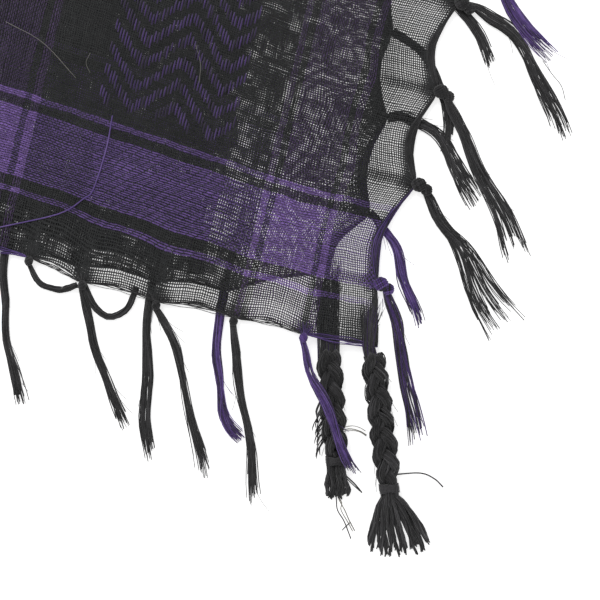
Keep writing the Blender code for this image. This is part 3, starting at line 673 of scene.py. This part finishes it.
class Cloth:
    """One layer with two free edges, drawn in between its knots. A nominal point is a from the side edge
    and b from the hem."""

    def __init__(self, side, hem, reach, creases, seed):
        self.side = side
        self.hem = hem
        self.reach = reach
        self.creases = creases
        self.seed = seed
        self.first_a, self.first_b = 0.0, 0.0
        for _ in range(20):
            self.first_a, self.first_b = -side.outer(self.first_b), -hem.outer(self.first_a)

    def height(self, x, y):
        """Height of the middle of its wall."""
        rest = self.side.under(min(max(x, -FOLDED_SIDE), 60), y) + LAYER / 2
        return max(rest + relief(x, y, self.seed, self.creases), CLOTH_WALL)

    def spot(self, a, b):
        """Where a nominal point lies."""
        pull_a = 1 - ramp(0, EDGE_PULL, a - self.first_a)
        pull_b = 1 - ramp(0, EDGE_PULL, b - self.first_b)
        x = (self.side.outer(b) + self.first_a) * pull_a - a
        y = b - (self.hem.outer(a) + self.first_b) * pull_b
        rest = self.height(x, y)
        if self.reach == FOLDED_SIDE:
            out_a, height_a = folded(-x, rest, FLOOR_GAP)
            out_b, height_b = folded(y, rest, max(rest - 2.0, 2 * CLOTH_WALL))
            x, y, rest = -out_a, out_b, min(height_a, height_b)
        return Vector((x, y, rest))

    def slant(self, a, b):
        """How far the stripes along the hem have been pulled up here."""
        away = min(max(a - SLANT_START, 0.0), SLANT_END - SLANT_START)
        return HEM_SLANT * away * ramp(0, HEM_STRIPES[1][0], b)

    def closeness(self, a, b, x, y):
        """Threads lie closer where the edge is gathered into a knot, and looser in the windows between."""
        into_side = self.side.outer(b) - x
        into_hem = self.hem.outer(a) + y
        width = self.side.rim(b) * 1.5
        result = 1.0 - WINDOW_LOOSER * (1 - min(ramp(10, 26, into_side), ramp(6, 12, into_hem)))
        result += RIM_CLOSER * (1 - ramp(0.3 * width, 1.1 * width, into_side))
        result += HEM_CLOSER * (1 - ramp(0.5, 2.2, into_hem))
        for edge, station, into, reach in ((self.side, b, into_side, 7.0), (self.hem, a, into_hem, 8.0)):
            for knot_at, _ in edge.knots:
                aside = abs(knot_at - station)
                if aside < reach:
                    result += KNOT_CLOSER * (1 - ramp(1.5, reach, math.hypot(aside, into * 0.7)))
                    # A knot also draws its own threads together, far into the cloth
                    result += KNOT_DRAWS * (1 - ramp(0.8, 2.6, aside)) * (1 - ramp(12, 34, into))
        result += CORNER_CLOSER * (1 - ramp(3, 26, math.hypot(a - self.first_a, b - self.first_b)))
        patchy = noise.noise(Vector((x / 18, y / 18, 3.3))) + 0.6 * noise.noise(Vector((x / 6, y / 6, 7.7)))
        return result + PATCHINESS * patchy

    def build(self, name):
        past = fold_stations() if self.reach == FOLDED_SIDE else []
        limit = self.reach - (FOLD_ROUND if past else 0.0)
        corner_a, corner_b = self.side.corner[1], self.hem.corner[1]

        def shape(a, b):
            spot = self.spot(a, b)
            weave = ((a + corner_a) * MM, (b + corner_b - self.slant(a, b)) * MM)
            return place(*spot), weave, THREAD_FILL * self.closeness(a, b, spot.x, spot.y)

        columns, rows = stations_to(self.first_a, limit) + past, stations_to(self.first_b, limit) + past
        return sheet_mesh(name, columns, rows, shape)


def hidden_cloth(name, inset, low, creases, seed, hem_reach):
    """A layer whose edges don't show from above. They turn down a little, and it rests flat."""
    left, right = FOLDED_SIDE - HIDDEN_FOLD - inset, HIDDEN_SIDE + inset
    low_edge, top_edge = HIDDEN_HEM + inset, FOLDED_SIDE - HIDDEN_FOLD - inset
    steps = 60
    columns = [right + (left - right) * i / steps for i in range(steps + 1)]
    rows = [low_edge + (top_edge - low_edge) * i / steps for i in range(steps + 1)]

    def shape(a, b):
        edge = min(a - right, left - a, b - low_edge, top_edge - b)
        rest = low + 0.35 + relief(-a, b, seed, creases) * ramp(0, 12, edge)
        rest -= 0.15 * (1 - ramp(0, 6, edge))
        # Both of its free edges run unevenly, and the one at the hem hangs out a little
        x = a + (3 + 5 * noise.noise(Vector((b / 16, seed, 0)))) * (1 - ramp(0, 30, a - right))
        y = b + (2 * noise.noise(Vector((a / 16, seed, 5))) - hem_reach) * (1 - ramp(0, 20, b - low_edge))
        spot = place(-x, y, max(rest, CLOTH_WALL / 2))
        return spot, ((a - HIDDEN_SIDE) * MM, (b - HIDDEN_HEM) * MM), THREAD_FILL * 1.1

    return sheet_mesh(name, columns, rows, shape)


# One yarn: its points, a radius for each, and its finish
Yarn = namedtuple("Yarn", "points radii finish closed", defaults=(False,))


def seat_yarns(name, yarns, materials, node, slot_name="cotton_yarn"):
    """Turns yarns into one mesh, a four-sided tube along each, and puts it in the place of its solid."""
    curve = bpy.data.curves.new(name, "CURVE")
    curve.dimensions = "3D"
    curve.bevel_depth = MM
    curve.bevel_resolution = 0
    curve.use_fill_caps = True
    for material in materials:
        curve.materials.append(material)
    for yarn in yarns:
        spline = curve.splines.new("POLY")
        spline.points.add(len(yarn.points) - 1)
        for point, (x, y, z), radius in zip(spline.points, yarn.points, yarn.radii):
            point.co = (*place(x, y, max(z, radius + 0.05)), 1.0)
            point.radius = radius
        spline.use_cyclic_u = yarn.closed
        spline.material_index = yarn.finish
        spline.use_smooth = True
    obj = bpy.data.objects.new(name, curve)
    bpy.context.collection.objects.link(obj)
    bpy.ops.object.select_all(action="DESELECT")
    obj.select_set(True)
    bpy.context.view_layer.objects.active = obj
    bpy.ops.object.convert(target="MESH")
    bpy.ops.object.mode_set(mode="EDIT")
    bpy.ops.mesh.select_all(action="SELECT")
    bpy.ops.mesh.remove_doubles(threshold=1e-6)
    bpy.ops.mesh.normals_make_consistent(inside=False)
    bpy.ops.object.mode_set(mode="OBJECT")
    seat(obj, slot_name, node)


def black(source):
    return source.choice((CHARCOAL, CHARCOAL, SOOT, SLATE))


def purple(source):
    return source.choice((PURPLE, PURPLE, PLUM, LILAC))


def mixed(source):
    return source.choice((black, purple, purple))(source)


def sideways(heading):
    """To the right of a heading."""
    return Vector((heading.y, -heading.x))


def bow(start, middle, end, share):
    """A point on a soft curve through three points, and the curve's heading there."""
    pull = middle * 2 - (start + end) / 2
    point = start * (1 - share) ** 2 + pull * 2 * share * (1 - share) + end * share**2
    heading = (pull - start) * 2 * (1 - share) + (end - pull) * 2 * share
    return point, heading.normalized()


def between(path, share):
    """The spot, heading and low side at a share of a path that lists them."""
    reach = min(max(share, 0.0), 1.0) * (len(path) - 1)
    i = min(int(reach), len(path) - 2)
    part = reach - i
    (a, before, low), (b, after, high) = path[i], path[i + 1]
    return a.lerp(b, part), before.lerp(after, part).normalized(), low + (high - low) * part


class Heap:
    """What already lies on the table, for what is laid over it."""

    def __init__(self):
        self.stretches = []

    def lay(self, points, half, top):
        self.stretches += [(a, b, half, top) for a, b in zip(points, points[1:])]

    def height(self, point):
        """Height of the highest thing below a point, with soft shoulders."""
        found = 0.0
        for a, b, half, top in self.stretches:
            distance = from_line(point, a, b)[0]
            if distance < half + 4.0:
                found = max(found, top * (1 - ramp(half, half + 4.0, distance)))
        return found


def strands(path, widths, height, count, colours, lanes=(0.0,), fray=0.0, part_from=0.3, steps=STEPS):
    """Yarns that run together along a path. They part into a clump for each lane, in millimetres aside,
    and with some fray they sway, stray and end unevenly."""
    clumps = [
        (lane, any_angle(), rng.uniform(0.4, 1.2), rng.uniform(1 - fray / 2, 1)) for lane in lanes
    ]
    loose = min(fray * 5, 1.0)
    kept = 0.75 if len(lanes) > 3 else 0.55
    for number in range(count):
        lane, wander, sway, length = clumps[number % len(clumps)]
        turn, radius = any_angle(), math.sqrt(rng.uniform(0.02, 1.0))
        length *= rng.uniform(1 - fray, 1.0)
        phase, shiver = any_angle(), rng.uniform(0.08, 0.3)
        stray = rng.uniform(-1, 1) ** 3 * 3.0 * loose
        thick = YARN * rng.uniform(0.75, 1.25) * (1.0 if count > 24 else 1.3)
        points, radii = [], []
        for step in range(steps):
            share = length * step / (steps - 1)
            spot, heading, low = between(path, share)
            parted = max(share - part_from, 0.0) / (1 - part_from)
            width = widths[0] + (widths[1] - widths[0]) * ramp(0, 0.22, share)
            width *= 1 - (1 - kept) * (len(lanes) > 1) * min(parted * 1.3, 1.0)
            width *= 1 - 0.3 * loose * ramp(0.8, 1.0, share)
            aside = radius * math.cos(turn + 1.5 * share) * max(width / 2 - YARN, 0.1) + lane * parted
            aside += loose * sway * math.sin(wander + 7 * share) * ramp(0, 0.5, share)
            aside += shiver * math.sin(phase + 20 * share) * (0.3 + share)
            aside += stray * ramp(0.5, 1.0, share)
            tall = height * (1 - 0.35 * share) - 2 * YARN
            rise = YARN + (0.5 + 0.5 * radius * math.sin(turn + 1.5 * share)) * tall
            points.append((*(spot + sideways(heading) * aside), low + rise))
            radii.append(thick * (1 - 0.45 * loose * ramp(0.8, 1.0, share)))
        yield Yarn(points, radii, colours(rng))


def hairs(path, width, count, colours):
    """Loose fibres that stand off a bundle."""
    for _ in range(count):
        spot, heading, low = path[rng.randrange(2, len(path) - 1)]
        across = sideways(heading) * rng.choice((-1, 1))
        length, bend = rng.uniform(3, 9), rng.uniform(-0.5, 0.8)
        out = rng.uniform(0.1, 0.45)
        points = []
        for t in shares(7):
            end = spot + across * (width / 2 - 0.5) + (heading + across * out).normalized() * length * t
            end += across * bend * length * 0.25 * t * t
            points.append((*end, low * (1 - t) + 0.5 + 0.4 * math.sin(2.2 * t)))
        yield Yarn(points, [0.08] * 7, colours(rng))


def knot(centre, heading, low, size, colours):
    """An overhand knot: turns of the bundle, aslant both ways, round a core."""
    along = Vector((*heading, 0.0))
    across = Vector((heading.y, -heading.x, 0.0))
    up = Vector((0, 0, 1))
    thick = sum(size) / 30
    length, width, height = [value / 2 - thick for value in size]
    middle = Vector((*centre, low + height + thick))
    for lean in (0.75, -0.6):
        axis = (along * math.cos(lean) + across * math.sin(lean)).normalized()
        side = axis.cross(up)
        for i in range(6):
            level = (i - 2.5) / 3.1
            girth = math.sqrt(1 - level * level)
            points = []
            for j in range(12):
                turn = 2 * math.pi * j / 12
                spot = axis * level + (side * math.cos(turn) + up * math.sin(turn)) * girth
                flat = along * spot.dot(along) * length + across * spot.dot(across) * width
                points.append(middle + (flat + up * spot.z * height))
            yield Yarn(points, [thick] * 12, colours(rng), True)


class Fringe:
    """All the tassels of one edge, with the gathered threads between them."""

    def __init__(self, edge, heap, over):
        self.edge = edge
        self.heap = heap
        self.over = over
        self.yarns = []
        self.is_hem = edge.outward.y < 0

    def colour_at(self, root):
        """A tassel takes the colour of the threads that end at its knot."""
        if (self.edge.name, root) == MIXED_TASSEL:
            return mixed
        start, length = PURPLE_AT_HEM if self.is_hem else PURPLE_AT_SIDE
        return purple if (root - self.edge.corner[0] - start) % REPEAT <= length else black

    def route(self, root, start):
        """Middle, end, spread and clumps of a tassel: as the photograph shows, or like its neighbours."""
        known = TASSELS[self.edge.name].get(root)
        if known:
            return Vector(known[0]), Vector(known[1]), known[2], known[3]
        lean = HEM_LEAN if self.is_hem else SIDE_LEAN
        heading = Matrix.Rotation(math.radians(rng.uniform(-7, 7)), 2) @ lean
        length = TASSEL_LENGTH * rng.uniform(0.92, 1.03)
        aside = Vector((-heading.y, heading.x)) * rng.uniform(-3, 3)
        middle, end = start + heading * length / 2 + aside, start + heading * length
        return middle, end, rng.uniform(2, 6), rng.choice((2, 3))

    def tassel(self, root):
        """One tassel, with its knot and the threads that run into it where it is tied on the top layer."""
        edge = self.edge
        colour = self.colour_at(root)
        out = edge.outer(root)
        start = edge.point(root, out)
        low = edge.under(start.x, start.y) + (0.1 if self.over else FLOOR_GAP)
        if self.over:
            size = HEM_KNOT if self.is_hem else SIDE_KNOT
            self.yarns += knot(edge.point(root, out + KNOT_OUT), edge.outward, low, size, colour)
            if not self.is_hem:
                lean = (edge.outward + SIDE_LEAN).normalized()
                lobe = edge.point(root, out + KNOT_OUT) + lean * LOBE_OUT
                self.yarns += knot(lobe, lean, low * 0.7, SIDE_LOBE, colour)
            self.fan(root, colour)
            start = edge.point(root, out + TASSEL_OUT)
        loop = LOOPS.get(edge.name, {}).get(root)
        if loop:
            self.cord([start] + [Vector(point) for point in loop], colour)
            return
        middle, end, spread, clumps = self.route(root, start)
        end = end + (end - middle) * 0.12  # few yarns are as long as the longest
        path = []
        phase, swing, waves = any_angle(), rng.uniform(0.5, 1.1), rng.uniform(9, 14)
        for share in shares(STEPS):
            spot, heading = bow(start, middle, end, share)
            aside = sideways(heading) * swing * ramp(0, 0.4, share)
            spot += aside * math.sin(phase + waves * share)
            below = self.heap.height(spot) if self.over else 0.0
            path.append((spot, heading, max(low * (1 - share * 4), below, FLOOR_GAP)))
        near = root < FULL_COUNT
        full = (4.2 if self.is_hem else 5.4) if clumps > 2 else 4.0
        lanes = [spread * (i / (clumps - 1) - 0.5) + rng.uniform(-0.3, 0.3) for i in range(clumps)]
        part_from = 0.45 if spread > 10 else rng.uniform(0.2, 0.4)
        self.yarns += strands(
            path, (2.8 if self.over else 4.2, full), 1.9 if self.over else 1.7,
            TASSEL_YARNS[0 if near else 1], colour, lanes, 0.13, part_from, STEPS if near else 12,
        )
        self.yarns += hairs(path, full, 4 if near else 1, colour)
        self.heap.lay([spot for spot, _, _ in path], full / 2, FLOOR_GAP + 1.8)

    def fan(self, root, colour):
        """Threads of the cloth that run together into a knot."""
        edge = self.edge
        for _ in range(FAN_THREADS):
            aim, length = rng.uniform(-1, 1), rng.uniform(4, 10)
            points = []
            for share in shares(6):
                out = edge.outer(root) + 1.0 - length * (1 - 0.4 * abs(aim)) * share
                spot = edge.point(root + aim * length * 0.75 * share, out)
                points.append((*spot, edge.under(*spot) + LAYER + 0.2 - 0.8 * share))
            self.yarns.append(Yarn(points, [0.17, 0.15, 0.13, 0.11, 0.1, 0.08], colour(rng)))

    def cord(self, points, colour):
        """A tassel that was pushed back under the hem, so that only a loop of it shows."""
        spots = smoothed(points, 4)
        heads = spots + [spots[-1] * 2 - spots[-2]]
        path = [
            (a, (b - a).normalized(), max(self.heap.height(a), FLOOR_GAP)) for a, b in zip(heads, heads[1:])
        ]
        self.yarns += strands(path, (2.6, 3.2), 2.2, CORD_YARNS, colour)

    def gathers(self, count, spare, thick):
        """Threads along the edge from each knot to the next, gathered in a rim or loose: how many, how far
        out they sag and how thick they are."""
        edge = self.edge
        roots = [edge.corner[0]] + [root for root, _ in edge.knots] + [FOLDED_SIDE - 6]
        for low, high in zip(roots, roots[1:]):
            colour = self.colour_at(high if self.is_hem else low)
            for number in range(count):
                depth = (number + rng.random()) / count
                sag = rng.uniform(*spare)
                phase = any_angle()
                lift = 0.5 * rng.random()
                points = []
                for share in shares(11):
                    station = low + (high - low) * share
                    bulge = math.sin(math.pi * share)
                    out = edge.outer(station) - depth * edge.rim(station) * bulge**0.5 + sag * bulge
                    out += 0.25 * math.sin(phase + 15 * share) * bulge
                    spot = edge.point(station, out)
                    points.append((*spot, edge.under(*spot) + 0.55 + lift))
                self.yarns.append(Yarn(points, [rng.uniform(*thick)] * 11, colour(rng)))

    def make(self):
        for root, _ in self.edge.knots:
            self.tassel(root)


def neck_yarns(route, widths, heading, low, count):
    """Threads of the cloth that run together into a plait's head, along a route of three points."""
    across = sideways(heading)
    for _ in range(count):
        lane, level = (rng.uniform(-1, 1) + rng.uniform(-1, 1)) / 2, rng.uniform(-1, 1)
        start, middle, end = (point + across * lane * width / 2 for point, width in zip(route, widths))
        start += (start - middle).normalized() * rng.uniform(-3, 9) + across * lane * rng.uniform(0, 3)
        points = []
        for share in shares(11):
            spot = bow(start, middle, end, share)[0] + across * 0.4 * math.sin(7 * share + 9 * level)
            points.append((*spot, low + (PLAIT_MIDDLE - low) * share**2 + level * (0.1 + 1.3 * share)))
        finish = rng.choice((CHARCOAL, CHARCOAL, SOOT, PLUM, SLATE))
        yield Yarn(points, [0.07 + 0.028 * step for step in range(11)], finish)


def plait_yarns(line):
    """Three strands of yarns that weave over and under each other, narrower at both ends."""
    start, end = line
    length = (end - start).length
    heading = (end - start) / length
    across = sideways(heading)
    yarns = []
    rings = int(length / PLAIT_RING)
    for phase in range(3):
        centres = []
        for ring in range(rings + 1):
            way = length * ring / rings
            angle = 2 * math.pi * (way / PLAIT_PERIOD + (phase - 1) / 3)
            size = (0.6 + 0.4 * ramp(-2, 4, way)) * (0.6 + 0.4 * ramp(-1, 6, length - way))
            spot = start + heading * way + across * PLAIT_SWING * size * math.sin(angle)
            centres.append((Vector((*spot, PLAIT_MIDDLE + PLAIT_WEAVE * size * math.sin(2 * angle))), size))
        for _ in range(PLAIT_YARNS):
            turn, radius = any_angle(), math.sqrt(rng.uniform(0.1, 1.0))
            wobble, lay = any_angle(), rng.uniform(0.08, 0.34)
            points = []
            for ring, (centre, size) in enumerate(centres):
                ahead = (centres[min(ring + 1, rings)][0] - centres[max(ring - 1, 0)][0]).normalized()
                side = ahead.cross(Vector((0, 0, 1))).normalized()
                rise = side.cross(ahead)
                angle = turn + lay * ring
                own = radius * (0.45 + 0.55 * size) * (1 - 0.12 * math.sin(wobble + 0.9 * ring) ** 2)
                spot = centre + side * own * math.cos(angle) * (PLAIT_STRAND[0] / 2 - PLAIT_YARN)
                points.append(spot + rise * own * math.sin(angle) * (PLAIT_STRAND[1] / 2 - PLAIT_YARN))
            thick = PLAIT_YARN * rng.uniform(0.6, 1.1)
            yarns.append(Yarn(points, [thick] * len(points), black(rng)))
    path = [(start + heading * length * i / 12, heading, PLAIT_MIDDLE) for i in range(13)]
    yarns += hairs(path, 10.0, 7, black)
    return yarns, heading


def brush_middle(way):
    """Height of the middle of a plait's end: it sinks towards the table."""
    return PLAIT_MIDDLE - 0.6 * way / BINDING_LENGTH


def binding(begin, heading):
    """Thread wound round the end of a plait, in two rows of turns."""
    across = sideways(heading)
    for turns, girth, lean in ((6, 1.0, 0.5), (5, 1.04, -0.7)):
        points = []
        for step in range(turns * BINDING_STEPS):
            turn = 2 * math.pi * step / BINDING_STEPS
            way = BINDING_LENGTH * (0.1 + 0.5 * step / (turns * BINDING_STEPS)) + lean * math.cos(turn)
            spot = begin + heading * way + across * BINDING_ROUND * girth * math.cos(turn)
            points.append((*spot, brush_middle(way) + 2.4 * girth * math.sin(turn)))
        yield Yarn(points, [0.27] * len(points), SLATE)


def brush_yarns(begin, heading, length, spread, bias, locks):
    """The loose ends of a plait below its binding, combed into a fan of twisted locks."""
    across = sideways(heading)
    for number in range(locks):
        lane = (number + rng.uniform(-0.5, 1.5)) / locks * 2 - 1
        level = rng.random()
        reach = length * (1 - 0.1 * lane * lane) * rng.uniform(0.86, 1.03)
        phase, sway = any_angle(), rng.uniform(0.3, 1.0)
        for ply in range(3):
            own = reach * rng.uniform(0.93, 1.0)
            thick = rng.uniform(0.34, 0.46)
            points, radii = [], []
            for share in shares(15):
                way = share * (own + BINDING_LENGTH)
                past = max(way - BINDING_LENGTH, 0.0) / length
                side = lane * (3.3 + (spread / 2 - 3.3) * past**0.65)
                side += sway * past * math.sin(phase + 9 * past)
                side += bias * past + 0.4 * math.cos(ply * 2.1 + phase + 9 * past)
                top = 1.2 + 2.4 * (1 - past) ** 2
                sunk = ramp(0, 0.5, past)
                rise = brush_middle(min(way, BINDING_LENGTH)) * (1 - sunk) + top * (level - 0.5)
                rise += sunk * (0.8 + 0.8 * level) + 0.35 * math.sin(ply * 2.1 + phase + 5 * past)
                points.append((*(begin + heading * way + across * side), rise))
                radii.append(thick * (1 - 0.35 * ramp(0.85, 1.0, share)))
            yield Yarn(points, radii, black(rng))


def frayed_side(line, heading, count):
    """Short cut ends that stand out from the far side of the back plait."""
    across = sideways(heading)
    for _ in range(count):
        root = line[0].lerp(line[1], rng.uniform(0.45, 0.86)) + across * 4.5
        length, lean = rng.uniform(4, 8), rng.uniform(0.15, 0.5)
        points = []
        for t in shares(6):
            spot = root + heading * length * t + across * (lean * length * t + 1.2 * math.sin(2.5 * t))
            points.append((*spot, 4.2 - 3.0 * t))
        yield Yarn(points, [0.24] * 5 + [0.12], black(rng))


def zigzag_yarns(cloth):
    """Short floats of purple yarn in zigzag rows, in one block of each repeat of the stripes."""
    for i in range(4):
        for j in range(4):
            left = BLOCK_SIDE[0] + REPEAT * i
            low, high = (edge + REPEAT * j for edge in BLOCK_HEM)
            for column in range(int((BLOCK_SIDE[1] - BLOCK_SIDE[0]) / FLOAT_PITCH)):
                a = left + FLOAT_PITCH * (column + 0.5)
                swing = -math.cos(2 * math.pi * (a - left - ZIGZAG_VALLEY) / ZIGZAG_PERIOD)
                zigzag = ZIGZAG_HEIGHT * (math.asin(0.97 * swing) / math.pi + 0.5)
                for row in range(-2, 9):
                    b = low + FLOAT_LENGTH / 2 + FLOAT_ROW * row + zigzag + rng.uniform(-0.9, 0.9)
                    inside = low + FLOAT_LENGTH / 2 <= b <= high - FLOAT_LENGTH / 2
                    slanted = b + cloth.slant(a, b)
                    if inside and max(a, slanted + FLOAT_LENGTH / 2) < FOLDED_SIDE - FOLD_ROUND - 2:
                        yield float_yarn(cloth, a + rng.uniform(-0.12, 0.12), slanted)


def float_yarn(cloth, a, b):
    """One float, which dips into the cloth at both ends."""
    half = FLOAT_LENGTH / 2 * rng.uniform(0.7, 1.12)
    profile = (-1, 0.15), (0, 0.36), (1, 0.15)
    points = [cloth.spot(a, b + half * end) + Vector((0, 0, rise)) for end, rise in profile]
    return Yarn(points, FLOAT_RADII, rng.choice((PURPLE, PURPLE, PLUM)))


def loose_yarns(cloth):
    """Single threads that have come loose, beside the scarf and on it."""
    for above, threads in ((False, LOOSE_BESIDE), (True, LOOSE_ABOVE)):
        for finish, radius, route in threads:
            points = []
            for spot in smoothed([Vector(point) for point in route], 6):
                low = cloth.height(spot.x, spot.y) + CLOTH_WALL if above else FLOOR_GAP
                points.append((*spot, low + radius))
            yield Yarn(points, [radius] * len(points), finish)


def make_scene():
    make_camera()
    make_lights()
    make_floor()
    yarn_finish = [twisted_cotton("cotton_yarn_" + name, *colours) for name, *colours in YARN_COLOURS]
    woven = gauze("open_cotton_gauze", "#262728", ("#453556", "#5e4880"))
    edges = make_edges()

    top_cloth = Cloth(edges["top_side"], edges["top_hem"], FOLDED_SIDE, TOP_CREASES, 1.5)
    second_cloth = Cloth(edges["second_side"], edges["second_hem"], FOLDED_SIDE - 4.0, SECOND_CREASES, 8.5)
    top = top_cloth.build("top_cloth")
    second = second_cloth.build("second_cloth")
    third = hidden_cloth("third_cloth", 3.4, 1.3, UNDER_CREASES, 4.1, 1.0)
    lowest = hidden_cloth("lowest_cloth", 0.0, 0.1, [], 6.2, 7.0)
    for cloth, slot_name, node in (
        (top, "striped_gauze", "top_panel"),
        (second, "striped_gauze", "second_panel"),
        (third, "hidden_gauze", "under_fold"),
        (lowest, "hidden_gauze", "under_fold"),
    ):
        cloth.data.materials.append(woven)
        seat(cloth, slot_name, node)
    seat_yarns("zigzag_floats", zigzag_yarns(top_cloth), yarn_finish, "top_panel", "striped_gauze")

    heap = Heap()
    fringes = {}
    for name in ("second_hem", "second_side"):
        fringes[name] = Fringe(edges[name], heap, False)
        fringes[name].make()

    back, back_heading = plait_yarns(BACK_PLAIT)
    back_route = BACK_NECK[0], BACK_NECK[0].lerp(BACK_NECK[1], 0.6), BACK_PLAIT[0] + back_heading * 5
    back += neck_yarns(back_route, (10.5, 10.5, 9.0), back_heading, 1.2, 150)
    back += frayed_side(BACK_PLAIT, back_heading, 26)
    heap.lay(BACK_PLAIT, PLAIT_COVER, PLAIT_TOP)

    for name in ("top_hem", "top_side"):
        fringes[name] = Fringe(edges[name], heap, True)
        fringes[name].make()
    fringes["top_hem"].gathers(9, (-0.8, 2.2), (0.11, 0.18))
    fringes["top_side"].gathers(34, (-0.4, 0.4), (0.12, 0.2))
    fringes["second_hem"].gathers(7, (-0.6, 1.0), (0.11, 0.18))
    fringes["second_side"].gathers(28, (-0.4, 0.4), (0.12, 0.2))
    for name, fringe in fringes.items():
        seat_yarns(name + "_tassels", fringe.yarns, yarn_finish, name + "_fringe")

    front, front_heading = plait_yarns(FRONT_PLAIT)
    front_route = Vector((-5.5, 11.0)), Vector((-4.0, 1.0)), FRONT_PLAIT[0] + front_heading * 5
    front += neck_yarns(front_route, (7.0, 5.5, 6.0), front_heading, top_cloth.height(-8, 8), 110)
    seat_yarns("front_plait_yarns", front, yarn_finish, "front_plait")
    seat_yarns("back_plait_yarns", back, yarn_finish, "back_plait")
    # Length, spread, lean and locks of each brush
    for name, line, heading, fan in (
        ("front_brush", FRONT_PLAIT, front_heading, (25.5, 30.0, -2.2, 32)),
        ("back_brush", BACK_PLAIT, back_heading, (12.5, 10.5, 0.0, 18)),
    ):
        begin = line[1] + heading * 0.3
        yarns = [*binding(begin, heading), *brush_yarns(begin, heading, *fan)]
        seat_yarns(name + "_yarns", yarns, yarn_finish, name)
    seat_yarns("loose_threads", loose_yarns(top_cloth), yarn_finish, "top_hem_fringe")


make_scene()
